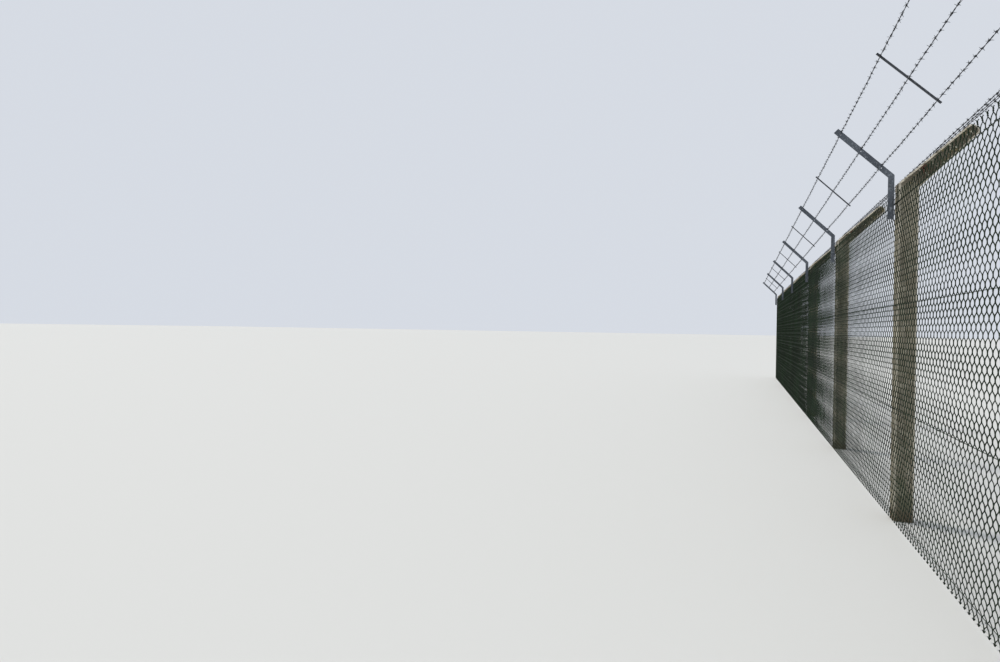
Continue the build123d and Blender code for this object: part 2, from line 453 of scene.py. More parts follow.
def picket(graph, sizes, phase):
    """One zigzag wire of the fabric, from its bent foot to its twisted and cut top.

    Each half turn has three points: the knuckle, then the two ends of a leg's crest. Legs
    that lean up to +X lie outside those that lean up to -X, and each knuckle reaches past
    its column, so that neighbours hook into each other."""
    half = graph.over(sizes["Diamond Width"], 2.0)
    half_row = graph.over(sizes["Diamond Height"], 2.0)
    turns = sizes["Half Turns"]
    knuckles = graph.times(turns, 3.0)
    count = graph.add(knuckles, FOOT_POINTS + 1 + TWIST_POINTS + TIP_POINTS)
    line = points_line(graph, count)
    index = graph.out("GeometryNodeInputIndex")
    step = graph.less(index, FOOT_POINTS)
    woven = graph.math("MINIMUM", graph.math("MAXIMUM", step, 0.0), knuckles)

    turn = graph.math("FLOOR", graph.over(graph.add(woven, 0.1), 3.0))
    part = graph.less(woven, graph.times(turn, 3.0))
    is_knuckle = graph.math("LESS_THAN", part, 0.5)
    is_leg_end = graph.math("GREATER_THAN", part, 1.5)
    is_leg_start = graph.less(graph.less(1.0, is_knuckle), is_leg_end)
    side = graph.math("FLOORED_MODULO", graph.add(turn, phase), 2.0)
    heading = graph.less(1.0, graph.times(side, 2.0))
    column = graph.times(side, half)
    leg_end = graph.times(graph.less(half, sizes["Knuckle Reach"]), is_leg_end)
    leg_start = graph.times(sizes["Knuckle Reach"], is_leg_start)
    run = graph.add(leg_start, leg_end)
    hook = graph.times(sizes["Hook"], is_knuckle)
    x = graph.add(column, graph.times(heading, graph.less(run, hook)))
    outside = graph.times(graph.less(is_knuckle, 1.0), sizes["Layer Offset"])
    layer = graph.times(heading, outside)
    rise = graph.times(run, graph.over(half_row, half))
    z = graph.add(graph.times(turn, half_row), rise)

    twist = graph.math("MAXIMUM", graph.less(step, knuckles), 0.0)
    past_twist = graph.math("MAXIMUM", graph.less(twist, TWIST_POINTS), 0.0)
    twist = graph.less(twist, past_twist)
    is_twisted = graph.math("GREATER_THAN", twist, 0.5)
    angle = graph.times(twist, -3 * math.pi / TWIST_POINTS)
    angle = graph.add(angle, graph.times(past_twist, sizes["Tip Turn"]))
    spread = graph.add(sizes["Hook"], graph.times(past_twist, sizes["Tip Spread"]))
    spread = graph.times(graph.times(heading, -1.0), spread)
    turned_x = graph.add(column, graph.times(spread, graph.math("COSINE", angle)))
    turned_y = graph.times(spread, graph.math("SINE", angle))
    stub = graph.over(graph.times(twist, sizes["Twist Height"]), TWIST_POINTS)
    stub = graph.add(stub, graph.times(past_twist, sizes["Tip Height"]))
    x = graph.add(x, graph.times(is_twisted, graph.less(turned_x, x)))
    layer = graph.add(layer, graph.times(is_twisted, turned_y))
    z = graph.add(z, stub)

    foot = graph.math("MAXIMUM", graph.times(step, -1.0), 0.0)
    is_foot_end = graph.math("GREATER_THAN", foot, 1.5)
    under = graph.math("GREATER_THAN", foot, 0.5)
    bend = graph.times(sizes["Foot Bend"], heading)
    x = graph.add(x, graph.times(graph.times(bend, foot), 0.6))
    lift = graph.less(graph.times(is_foot_end, 2.2), under)
    z = graph.add(z, graph.times(graph.times(lift, sizes["Foot Bend"]), 0.55))
    layer = graph.add(layer, graph.times(graph.times(heading, is_foot_end), sizes["Layer Offset"]))

    points = placed(graph, line, graph.vector(x, layer, z))
    return wire_from(graph, points, sizes["Wire Radius"], sizes["Wire Sides"])


def fabric_tree():
    """Weaves one bay of chain-link fabric, with a gentle belly between its fixings."""
    tree, graph, sizes = new_geometry_tree(
        "woven_fabric",
        {
            "Start": "Vector",
            "Half Turns": "Int",
            "Pairs": "Int",
            "Wire Sides": "Int",
            **floats("Diamond Width", "Diamond Height", "Wire Radius", "Layer Offset", "Hook"),
            **floats("Knuckle Reach", "Foot Bend", "Twist Height", "Tip Height", "Tip Spread"),
            **floats("Tip Turn", "Pinch", "Belly", "Waver", "Bay Length", "Seed"),
            "Material": "Material",
        },
    )
    half = graph.over(sizes["Diamond Width"], 2.0)
    half_row = graph.over(sizes["Diamond Height"], 2.0)
    columns = points_line(graph, sizes["Pairs"], graph.vector(sizes["Diamond Width"]))
    even = {"Points": columns, "Instance": picket(graph, sizes, 1.0)}
    even = graph.out("GeometryNodeInstanceOnPoints", even)
    odd_columns = shifted(graph, columns, graph.vector(half))
    odd = {"Points": odd_columns, "Instance": picket(graph, sizes, 0.0)}
    odd = graph.out("GeometryNodeInstanceOnPoints", odd)
    woven = graph.out("GeometryNodeRealizeInstances", {0: joined(graph, even, odd)})

    place = graph.out("GeometryNodeInputPosition")
    x, y, z = graph.split(place)
    along = graph.over(x, sizes["Bay Length"])
    along = graph.math("MINIMUM", graph.math("MAXIMUM", along, 0.0), 1.0)
    free = graph.math("SINE", graph.times(along, math.pi))
    first_wire = LINE_WIRE_HEIGHTS[0] - FABRIC_LOW.z
    wire_gap = LINE_WIRE_HEIGHTS[1] - LINE_WIRE_HEIGHTS[0]
    between = graph.over(graph.less(z, first_wire), wire_gap)
    between = graph.math("ABSOLUTE", graph.math("SINE", graph.times(between, math.pi)))
    seeded = graph.move(place, graph.vector(graph.times(sizes["Seed"], 11.3), 0.0, sizes["Seed"]))
    swell = graph.add(graph.times(graph.noise(seeded, 1.4, 2, 0.5), 1.3), 0.1)
    belly = graph.times(graph.times(free, between), graph.times(swell, sizes["Belly"]))
    shake = graph.node("ShaderNodeTexNoise", {"Vector": seeded, "Scale": 5.5, "Detail": 2.0})
    shake = graph.move(shake.outputs["Color"], (-0.5, -0.5, -0.5))
    shake = graph.stretch(shake, graph.vector(sizes["Waver"], 0.0, sizes["Waver"]))
    edge_free = graph.band(free, 0.03, 0.15)
    shake = graph.stretch(shake, graph.vector(edge_free, edge_free, edge_free))
    top = graph.times(sizes["Half Turns"], half_row)
    above = graph.math("MAXIMUM", graph.less(z, top), 0.0)
    sway = graph.less(graph.noise(graph.move(seeded, (3.7, 0.0, 0.0)), 9.0, 2, 0.6), 0.5)
    bend = graph.vector(graph.times(above, graph.times(sway, 1.6)), graph.times(above, sway))
    pinch = graph.times(graph.times(y, sizes["Pinch"]), graph.less(1.0, edge_free))
    inward = graph.times(graph.add(belly, pinch), -1.0)
    shift = graph.move(graph.move(shake, bend), graph.vector(0.0, inward, 0.0))
    hung = shifted(graph, woven, graph.move(shift, sizes["Start"]))
    end_geometry_tree(graph, hung, sizes["Material"])
    return tree


BARB_WRAP_POINTS = 5

# How far a barb's ends lean along the strand, how much they taper and how unevenly barbs sit
BARB_LEAN = 0.0015
BARB_TAPER = 0.65
BARB_SCATTER = 0.006
BARB_TILT = 0.12


def barb_wire(graph, sizes, turn, shift):
    """One wire of a barb: wrapped once round the strand, with both ends standing out."""
    line = points_line(graph, BARB_WRAP_POINTS + 2)
    index = graph.out("GeometryNodeInputIndex")
    step = graph.less(index, 1.0)
    last = BARB_WRAP_POINTS - 1
    wrapped = graph.math("MINIMUM", graph.math("MAXIMUM", step, 0.0), float(last))
    angle = graph.add(graph.times(wrapped, 2 * math.pi / last), turn)
    outside = graph.less(step, wrapped)
    reach = graph.times(outside, sizes["Barb Reach"])
    cosine = graph.math("COSINE", angle)
    sine = graph.math("SINE", angle)
    y = graph.less(graph.times(cosine, sizes["Wrap Radius"]), graph.times(sine, reach))
    z = graph.add(graph.times(sine, sizes["Wrap Radius"]), graph.times(cosine, reach))
    forward = graph.times(graph.less(wrapped, last / 2), sizes["Barb Pitch"])
    x = graph.add(graph.add(forward, graph.times(outside, BARB_LEAN)), shift)
    points = placed(graph, line, graph.vector(x, y, z))
    tips = graph.less(1.0, graph.times(graph.math("ABSOLUTE", outside), BARB_TAPER))
    return wire_from(graph, points, sizes["Barb Radius"], sizes["Barb Sides"], tips)


def ply(graph, sizes, phase):
    """One wire of a two-ply strand, wound round the strand's line."""
    rings = graph.over(sizes["Length"], sizes["Ring Gap"])
    count = graph.add(graph.math("ROUND", rings), 1.0)
    line = points_line(graph, count, graph.vector(sizes["Ring Gap"]))
    place = graph.split(graph.out("GeometryNodeInputPosition"))
    angle = graph.times(graph.over(place[0], sizes["Lay"]), 2 * math.pi)
    angle = graph.add(angle, phase)
    y = graph.times(graph.math("COSINE", angle), sizes["Ply Offset"])
    z = graph.times(graph.math("SINE", angle), sizes["Ply Offset"])
    points = placed(graph, line, graph.vector(place[0], y, z))
    return wire_from(graph, points, sizes["Ply Radius"], sizes["Ply Sides"])


def strand_tree():
    """Winds a two-ply strand and wraps four-point barbs round it at even spaces."""
    tree, graph, sizes = new_geometry_tree(
        "barbed_strand",
        {
            "Start": "Vector",
            "Ply Sides": "Int",
            "Barbs": "Int",
            "Barb Sides": "Int",
            "Seed": "Int",
            **floats("Length", "Ring Gap", "Lay", "Ply Offset", "Ply Radius", "Barb Spacing"),
            **floats("Barb Reach", "Barb Radius", "Barb Pitch", "Wrap Radius", "Span", "Sag"),
            "Material": "Material",
        },
    )
    plies = joined(graph, ply(graph, sizes, 0.0), ply(graph, sizes, math.pi))
    first = barb_wire(graph, sizes, 0.0, graph.times(sizes["Barb Pitch"], -0.9))
    second = barb_wire(graph, sizes, math.pi / 2, graph.times(sizes["Barb Pitch"], 0.9))
    places = points_line(graph, sizes["Barbs"], graph.vector(sizes["Barb Spacing"]))
    scatter = graph.out(
        "FunctionNodeRandomValue",
        {0: (-BARB_SCATTER, 0.0, 0.0), 1: (BARB_SCATTER, 0.0, 0.0), "Seed": sizes["Seed"]},
        data_type="FLOAT_VECTOR",
    )
    start = graph.move(scatter, graph.vector(graph.over(sizes["Barb Spacing"], 2.0)))
    places = shifted(graph, places, start)
    turns = graph.out(
        "FunctionNodeRandomValue",
        {
            0: (0.0, -BARB_TILT, -BARB_TILT),
            1: (2 * math.pi, BARB_TILT, BARB_TILT),
            "Seed": sizes["Seed"],
        },
        data_type="FLOAT_VECTOR",
    )
    inputs = {"Points": places, "Instance": joined(graph, first, second), "Rotation": turns}
    barbs = graph.out("GeometryNodeInstanceOnPoints", inputs)
    barbs = graph.out("GeometryNodeRealizeInstances", {0: barbs})
    whole = joined(graph, plies, barbs)

    place = graph.split(graph.out("GeometryNodeInputPosition"))
    start_x = graph.split(sizes["Start"])[0]
    along = graph.over(graph.add(place[0], start_x), sizes["Span"])
    droop = graph.math("ABSOLUTE", graph.math("SINE", graph.times(along, math.pi)))
    offset = graph.vector(0.0, 0.0, graph.times(graph.times(droop, sizes["Sag"]), -1.0))
    offset = graph.move(offset, sizes["Start"])
    strung = shifted(graph, whole, offset)
    end_geometry_tree(graph, strung, sizes["Material"])
    return tree


def grid_inputs():
    """The inputs of a tree that repeats a piece in columns and rows."""
    return {
        "Start": "Vector",
        "Columns": "Int",
        "Column Step": "Vector",
        "Rows": "Int",
        "Row Step": "Vector",
        "Material": "Material",
    }


def repeated(graph, sizes, piece):
    """The piece at every place of a grid of columns and rows."""
    rows = points_line(graph, sizes["Rows"], sizes["Row Step"])
    columns = points_line(graph, sizes["Columns"], sizes["Column Step"])
    inputs = {"Points": columns, "Instance": rows}
    grid = graph.out("GeometryNodeInstanceOnPoints", inputs)
    grid = graph.out("GeometryNodeRealizeInstances", {0: grid})
    grid = shifted(graph, grid, sizes["Start"])
    inputs = {"Points": grid, "Instance": piece}
    return graph.out("GeometryNodeInstanceOnPoints", inputs)


def bent_wire_tree():
    """Repeats a bent wire, whose route is the edges of the object's own mesh."""
    inputs = {**grid_inputs(), "Wire Radius": "Float", "Wire Sides": "Int"}
    tree, graph, sizes = new_geometry_tree("bent_wires", inputs)
    wire = wire_from(graph, sizes["Geometry"], sizes["Wire Radius"], sizes["Wire Sides"])
    end_geometry_tree(graph, repeated(graph, sizes, wire), sizes["Material"])
    return tree


def disc(graph, sides, radius, low, thickness):
    """A capped prism on Z that starts at a height."""
    inputs = {"Vertices": sides, "Radius": radius, "Depth": thickness}
    prism = graph.out("GeometryNodeMeshCylinder", inputs)
    up = graph.vector(0.0, 0.0, graph.add(low, graph.over(thickness, 2.0)))
    inputs = {"Geometry": prism, "Translation": up}
    return graph.out("GeometryNodeTransform", inputs)


def bolt_tree():
    """Repeats a hexagon bolt with washers and a nut, its head outwards and its nut inside."""
    inputs = {
        **grid_inputs(),
        **floats("Bolt Radius", "Head Radius", "Head Height", "Washer Radius", "Washer Height"),
        **floats("Grip", "Thread End"),
    }
    tree, graph, sizes = new_geometry_tree("arm_bolts", inputs)
    head_radius, head_height = sizes["Head Radius"], sizes["Head Height"]
    washer_radius, washer_height = sizes["Washer Radius"], sizes["Washer Height"]
    inner_face = graph.times(sizes["Grip"], -1.0)
    washer_end = graph.less(inner_face, washer_height)
    nut = graph.less(washer_end, head_height)
    end = graph.less(nut, sizes["Thread End"])
    head = disc(graph, 6, head_radius, washer_height, head_height)
    dome_height = graph.times(head_height, 0.18)
    dome_place = graph.add(washer_height, head_height)
    dome = disc(graph, 12, graph.times(head_radius, 0.78), dome_place, dome_height)
    outer_washer = disc(graph, 18, washer_radius, 0.0, washer_height)
    inner_washer = disc(graph, 18, washer_radius, washer_end, washer_height)
    nut_body = disc(graph, 6, head_radius, nut, head_height)
    thread = disc(graph, 10, sizes["Bolt Radius"], end, graph.add(sizes["Thread End"], head_height))
    bolt = joined(graph, head, dome, outer_washer, inner_washer, nut_body, thread)
    inputs = {"Geometry": bolt, "Rotation": (math.pi / 2, 0.0, 0.0)}
    bolt = graph.out("GeometryNodeTransform", inputs)
    end_geometry_tree(graph, repeated(graph, sizes, bolt), sizes["Material"], smooth=False)
    return tree


def lacing_tree():
    """Winds a lacing wire along a line wire."""
    inputs = {
        "Start": "Vector",
        "Ply Sides": "Int",
        "Material": "Material",
        **floats("Length", "Ring Gap", "Lay", "Ply Offset", "Ply Radius"),
    }
    tree, graph, sizes = new_geometry_tree("lacing", inputs)
    wound = ply(graph, sizes, 0.0)
    wound = shifted(graph, wound, sizes["Start"])
    end_geometry_tree(graph, wound, sizes["Material"])
    return tree


def route_mesh(name, points):
    """A mesh of edges from point to point, as the route of a bent wire."""
    mesh = bpy.data.meshes.new(name)
    mesh.from_pydata(points, [(i, i + 1) for i in range(len(points) - 1)], [])
    return mesh


COIL_STEPS = 6


def coil(radius, start, end, turns, out, up):
    """Points wound round the line of a strand, from one place along it to another."""
    steps = round(turns * COIL_STEPS)
    points = []
    for step in range(steps + 1):
        share = step / steps
        angle = 2 * math.pi * turns * share
        round_wire = out * (math.cos(angle) * radius) + up * (math.sin(angle) * radius)
        points.append(Vector((start + (end - start) * share, 0, 0)) + round_wire)
    return points


def hairpin(width, depth, height, across, up):
    """The route of a staple driven over a wire: two legs and the bow between them."""
    points = [across * -width - up * depth]
    for step in range(5):
        angle = math.pi * (1 - step / 4)
        points.append(across * (math.cos(angle) * width) + up * (math.sin(angle) * height))
    points.append(across * width - up * depth)
    return points


def colour_setting(name, description, default):
    """A colour that a user would change."""
    return FloatVectorProperty(name=name, description=description, subtype="COLOR", default=default)


def length_setting(name, description, default):
    """A length that a user would change, shown to a tenth of a millimetre."""
    return FloatProperty(
        name=name, description=description, unit="LENGTH", precision=4, default=default
    )


class ConcreteSettings(bpy.types.PropertyGroup):
    """The weathering of the posts."""

    body_colour: colour_setting("Body", "Weathered face", (0.44, 0.4, 0.31))
    shade_colour: colour_setting("Shade", "Damp, darker face", (0.27, 0.245, 0.185))
    pale_colour: colour_setting("Pale", "Bleached face", (0.6, 0.56, 0.45))
    edge_colour: colour_setting("Edges", "Worn arrises", (0.75, 0.69, 0.57))
    algae_colour: colour_setting("Algae", "Green film", (0.085, 0.1, 0.045))
    lichen_colour: colour_setting("Lichen", "Mustard crust", (0.2, 0.165, 0.085))
    pale_lichen_colour: colour_setting("Pale lichen", "Whitish crust", (0.55, 0.53, 0.42))
    crank_tint: colour_setting("Crank", "Darkening of the cranks", (0.2, 0.19, 0.17))
    rust_colour: colour_setting("Rust", "Stain of the tie hole", (0.085, 0.034, 0.02))
    mud_colour: colour_setting("Mud", "Splash at the foot", (0.1, 0.07, 0.045))


class SteelSettings(bpy.types.PropertyGroup):
    """The weathering of the arms, droppers and fixings."""

    body_colour: colour_setting("Zinc", "Dull zinc", (0.12, 0.135, 0.155))
    shade_colour: colour_setting("Dark zinc", "Darkened zinc", (0.07, 0.08, 0.096))
    bloom_colour: colour_setting("Bloom", "White bloom", (0.34, 0.37, 0.4))
    rust_colour: colour_setting("Rust", "Fresh rust", (0.15, 0.062, 0.028))
    deep_rust_colour: colour_setting("Deep rust", "Old rust", (0.065, 0.028, 0.016))


class FabricSettings(bpy.types.PropertyGroup):
    """The woven fabric and its coating."""

    diamond_width: length_setting("Diamond width", "Of one diamond", 0.064)
    diamond_height: length_setting("Diamond height", "Of one diamond", 0.076)
    wire_diameter: length_setting("Wire", "Over the coating", 0.0047)
    near_sides: IntProperty(name="Near sides", description="Sides of a near wire", default=4)
    far_sides: IntProperty(name="Far sides", description="Sides of a far wire", default=3)
    layer_offset: length_setting("Bow", "Legs from the middle of the fabric", 0.003)
    hook: length_setting("Hook", "Reach past the next wire", 0.0024)
    knuckle_reach: length_setting("Knuckle", "From a bend to the crest of a leg", 0.0134)
    foot_bend: length_setting("Foot", "Size of a bent foot", 0.008)
    twist_height: length_setting("Twist", "Height of the twisted ends", 0.02)
    tip_height: length_setting("Tip rise", "Rise of the cut ends", 0.007)
    tip_spread: length_setting("Tip spread", "Spread of the cut ends", 0.006)
    tip_turn: FloatProperty(
        name="Tip turn", description="Cut ends across the fabric", subtype="ANGLE", default=0.6
    )
    pinch: FloatProperty(name="Pinch", description="Flattened under the arms", default=0.12)
    belly: length_setting("Belly", "How far the fabric swells", 0.01)
    waver: length_setting("Waver", "Unevenness of the weave", 0.006)
    coat_colour: colour_setting("Coat", "Coating", (0.0035, 0.0115, 0.003))
    faded_coat_colour: colour_setting("Faded coat", "Bleached coating", (0.009, 0.025, 0.0085))
    # Colour of the wire's upward faces: settled dust together with painted sunlight.
    dust_and_painted_sunlight_colour: colour_setting("Dust", "Settled dust", (0.038, 0.054, 0.028))
    wire_algae_colour: colour_setting("Algae", "Green film", (0.014, 0.032, 0.008))


class StrandSettings(bpy.types.PropertyGroup):
    """The barbed strands."""

    lay: length_setting("Lay", "Length of a full turn", 0.1)
    rings_per_turn: IntProperty(name="Rings", description="Rings in a full turn", default=5)
    ply_sides: IntProperty(name="Strand sides", description="Sides of a strand wire", default=3)
    barb_sides: IntProperty(name="Barb sides", description="Sides of a barb wire", default=3)
    barb_spacing: length_setting("Barb spacing", "From barb to barb", 0.08)
    barb_reach: length_setting("Barb reach", "Free length of a barb", 0.014)
    barb_diameter: length_setting("Barb wire", "Wire of a barb", 0.003)
    inner_sag: length_setting("Inner sag", "Sag between posts", 0.005)
    outer_sag: length_setting("Outer sag", "Sag beside a dropper", 0.004)


class FixingSettings(bpy.types.PropertyGroup):
    """Bolts, ties, staples and lacing."""

    bolt_diameter: length_setting("Bolt", "Thread of an arm bolt", 0.012)
    head_width: length_setting("Head", "Across the corners of a head", 0.022)
    head_height: length_setting("Head height", "Height of a head", 0.008)
    washer_diameter: length_setting("Washer", "Of an arm bolt", 0.028)
    washer_height: length_setting("Washer height", "Thickness", 0.0025)
    bolt_setback: length_setting("Bolt place", "From the arm's middle", 0.004)
    lowest_bolt: length_setting("Lowest bolt", "Above the arm's foot", 0.045)
    bolt_gap: length_setting("Bolt gap", "From bolt to bolt", 0.12)
    tie_diameter: length_setting("Tie wire", "Of a tie", 0.0025)
    staple_diameter: length_setting("Staple wire", "Of a staple", 0.0035)
    hole_setback: length_setting("Arm hole", "Towards the knee from a strand", 0.01)
    hole_depth: length_setting("Arm hole depth", "Below a strand", 0.0228)
    ties_per_bay: IntProperty(name="Ties", description="Fabric ties to a bay on a wire", default=8)


class CameraSettings(bpy.types.PropertyGroup):
    """The view along the fence from outside."""

    place: FloatVectorProperty(
        name="Place", description="Camera", unit="LENGTH", default=(11.25, -1.1075, 1.3187)
    )
    heading: FloatProperty(
        name="Heading", description="From -X towards -Y", subtype="ANGLE", default=0.36092
    )
    dip: FloatProperty(name="Dip", description="Below level", subtype="ANGLE", default=0.0032)
    roll: FloatProperty(name="Roll", description="Tilt", subtype="ANGLE", default=0.01574)
    focal_share: FloatProperty(
        name="Focal share", description="Focal length over image width", default=0.6329
    )


def dress(nodes, material):
    """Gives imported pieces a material."""
    for name in nodes:
        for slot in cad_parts[name].material_slots:
            slot.material = material


class FENCE_OT_finish_concrete(bpy.types.Operator):
    """Weathers the concrete posts"""

    bl_idname = "fence.finish_concrete"
    bl_label = "Weather the posts"

    def execute(self, context):
        dress(POSTS, concrete_material(context.scene.fence_concrete))
        return {"FINISHED"}


class FENCE_OT_finish_steel(bpy.types.Operator):
    """Weathers the arms, the droppers and the line wires"""

    bl_idname = "fence.finish_steel"
    bl_label = "Weather the steel"

    def execute(self, context):
        steel = context.scene.fence_steel
        dress(ARMS, zinc_material("arm_zinc", steel, 0.72))
        dress(DROPPERS, zinc_material("dropper_zinc", steel, 0.7, 0.42, 0.1))
        dress(LINE_WIRES, coated_wire_material(context.scene.fence_fabric))
        return {"FINISHED"}


# The settings that the fabric's tree takes as they are
WEAVE_SETTINGS = ("layer_offset", "hook", "knuckle_reach", "foot_bend", "twist_height")
WEAVE_SETTINGS += ("tip_height", "tip_spread", "tip_turn", "pinch", "belly", "waver")


def label_of(setting):
    """The input of a tree that takes a setting."""
    return setting.replace("_", " ").title()


class FENCE_OT_weave_fabric(bpy.types.Operator):
    """Weaves the chain-link fabric of every bay"""

    bl_idname = "fence.weave_fabric"
    bl_label = "Weave the fabric"

    def execute(self, context):
        look = context.scene.fence_fabric
        tree = fabric_tree()
        pairs = round(BAY_LENGTH / look.diamond_width)
        height = FABRIC_HIGH.z - FABRIC_LOW.z
        rows = round(height / look.diamond_height)
        values = {
            "Diamond Width": BAY_LENGTH / pairs,
            "Diamond Height": height / rows,
            "Half Turns": 2 * rows,
            "Pairs": pairs,
            **{label_of(name): getattr(look, name) for name in WEAVE_SETTINGS},
            "Bay Length": BAY_LENGTH,
            "Material": coated_wire_material(look),
        }
        middle_y = (FABRIC_LOW.y + FABRIC_HIGH.y) / 2
        for number, (bay, start) in enumerate(zip(BAYS, POST_PLACES), 1):
            sides = look.near_sides if start >= 0 else look.far_sides
            values["Wire Sides"] = sides
            values["Wire Radius"] = ring_radius(look.wire_diameter, sides)
            values["Start"] = (start, middle_y, FABRIC_LOW.z)
            values["Seed"] = float(number)
            keep(grow(f"woven_fabric_{number}", tree, values), "mesh_wire", bay)
        return {"FINISHED"}


class FENCE_OT_wind_strands(bpy.types.Operator):
    """Winds the barbed strands on both sides of the top"""

    bl_idname = "fence.wind_strands"
    bl_label = "Wind the barbed strands"

    def execute(self, context):
        look = context.scene.fence_strands
        material = zinc_material("strand_zinc", context.scene.fence_steel, 0.7, 0.3, 0.05)
        tree = strand_tree()
        length = STRAND_HIGH.x - STRAND_LOW.x
        radius = STRAND_RADIUS / 2
        values = {
            "Length": length,
            "Ring Gap": look.lay / look.rings_per_turn,
            "Lay": look.lay,
            "Ply Offset": radius,
            "Ply Radius": ring_radius(radius * 2, look.ply_sides),
            "Ply Sides": look.ply_sides,
            "Barbs": int(length / look.barb_spacing),
            "Barb Spacing": look.barb_spacing,
            "Barb Reach": look.barb_reach,
            "Barb Radius": ring_radius(look.barb_diameter, look.barb_sides),
            "Barb Sides": look.barb_sides,
            "Barb Pitch": look.barb_diameter,
            "Wrap Radius": STRAND_RADIUS + look.barb_diameter / 4,
            "Material": material,
        }
        for seed, node in enumerate(OUTER_STRANDS + INNER_STRANDS):
            outer = node in OUTER_STRANDS
            values["Span"] = BAY_LENGTH / 2 if outer else BAY_LENGTH
            values["Sag"] = look.outer_sag if outer else look.inner_sag
            values["Seed"] = seed
            centre = middle(node)
            values["Start"] = (STRAND_LOW.x, centre.y, centre.z)
            name = node.replace("barbed_wire", "barbed_strand")
            keep(grow(name, tree, values), "barbed_wire", node)
        return {"FINISHED"}


def post_grid(start, rows, row_step):
    """The grid values of pieces that stand in rows at every post."""
    return {
        "Start": (POST_PLACES[0] + start.x, start.y, start.z),
        "Columns": len(POSTS),
        "Column Step": (BAY_LENGTH, 0, 0),
        "Rows": rows,
        "Row Step": tuple(row_step),
    }


class FENCE_OT_fit_bolts(bpy.types.Operator):
    """Bolts every arm through the fabric and its post"""

    bl_idname = "fence.fit_bolts"
    bl_label = "Fit the arm bolts"

    def execute(self, context):
        look = context.scene.fence_fixings
        arm_face = FABRIC_LOW.y - ARM_SEAT - ARM_THICKNESS
        start = Vector((-look.bolt_setback, arm_face, ARM_LOW.z + look.lowest_bolt))
        values = {
            **post_grid(start, 2, (0, 0, look.bolt_gap)),
            "Bolt Radius": look.bolt_diameter / 2,
            "Head Radius": look.head_width / 2,
            "Head Height": look.head_height,
            "Washer Radius": look.washer_diameter / 2,
            "Washer Height": look.washer_height,
            "Grip": POST_INNER_FACE - arm_face,
            "Thread End": look.bolt_diameter * 0.6,
            "Material": zinc_material("bolt_zinc", context.scene.fence_steel, 0.56),
        }
        keep(grow("arm_bolts", bolt_tree(), values), "arm_steel")
        return {"FINISHED"}


class FENCE_OT_tie_strands(bpy.types.Operator):
    """Ties the outer strands to the arms and staples the inner strands to the cranks"""

    bl_idname = "fence.tie_strands"
    bl_label = "Tie the strands"

    def execute(self, context):
        look = context.scene.fence_fixings
        tree = bent_wire_tree()
        tie_radius = look.tie_diameter / 2
        values = {
            **post_grid(OUTER_PLACE, len(OUTER_STRANDS), OUTER_STEP),
            "Wire Radius": ring_radius(look.tie_diameter, 4),
            "Wire Sides": 4,
            "Material": zinc_material("tie_zinc", context.scene.fence_steel, 0.6, 0.5, 0.1),
        }
        route = route_mesh("arm_tie_route", arm_tie_route(look, STRAND_RADIUS + tie_radius))
        keep(grow("arm_ties", tree, values, route), "barbed_wire")

        staple_radius = look.staple_diameter / 2
        values.update(post_grid(INNER_PLACE, len(INNER_STRANDS), INNER_STEP))
        values["Wire Radius"] = ring_radius(look.staple_diameter, 4)
        width = STRAND_RADIUS + staple_radius
        points = hairpin(width, STRAND_RADIUS * 3, width, CRANK_OUT, CRANK_UP)
        keep(grow("crank_staples", tree, values, route_mesh("staple_route", points)), "barbed_wire")
        return {"FINISHED"}


# How far a tie is wound past the arm, and where it enters and leaves the arm's hole
TIE_WOUND = 0.016
TIE_ENTRY = 0.012
TIE_EXIT = 0.006


def arm_tie_route(look, radius):
    """The route of a tie: round the strand, through the arm's hole and round its flange."""
    wound_end = ARM_HALF_WIDTH + TIE_WOUND
    flange_side = ARM_HALF_WIDTH + look.tie_diameter
    hole = ARM_OUT * -look.hole_setback - ARM_UP * look.hole_depth
    under = ARM_UP * -(STRAND_RADIUS + ARM_SEAT + ARM_THICKNESS + look.tie_diameter)
    points = coil(radius, wound_end, flange_side, 2.0, ARM_OUT, ARM_UP)
    points.append(Vector((flange_side, 0, 0)) + hole * 0.5)
    points.append(Vector((flange_side, 0, 0)) + hole)
    points.append(Vector((flange_side - TIE_ENTRY, 0, 0)) + hole)
    points.append(Vector((-flange_side + TIE_EXIT, 0, 0)) + hole * 0.2 + under)
    points.append(Vector((-flange_side, 0, 0)) + under * 0.5)
    points += coil(radius, -flange_side, -wound_end, 2.0, ARM_OUT, ARM_UP)
    return points


# From a post's middle to the staples of its line wires
STAPLE_PLACE = 0.03


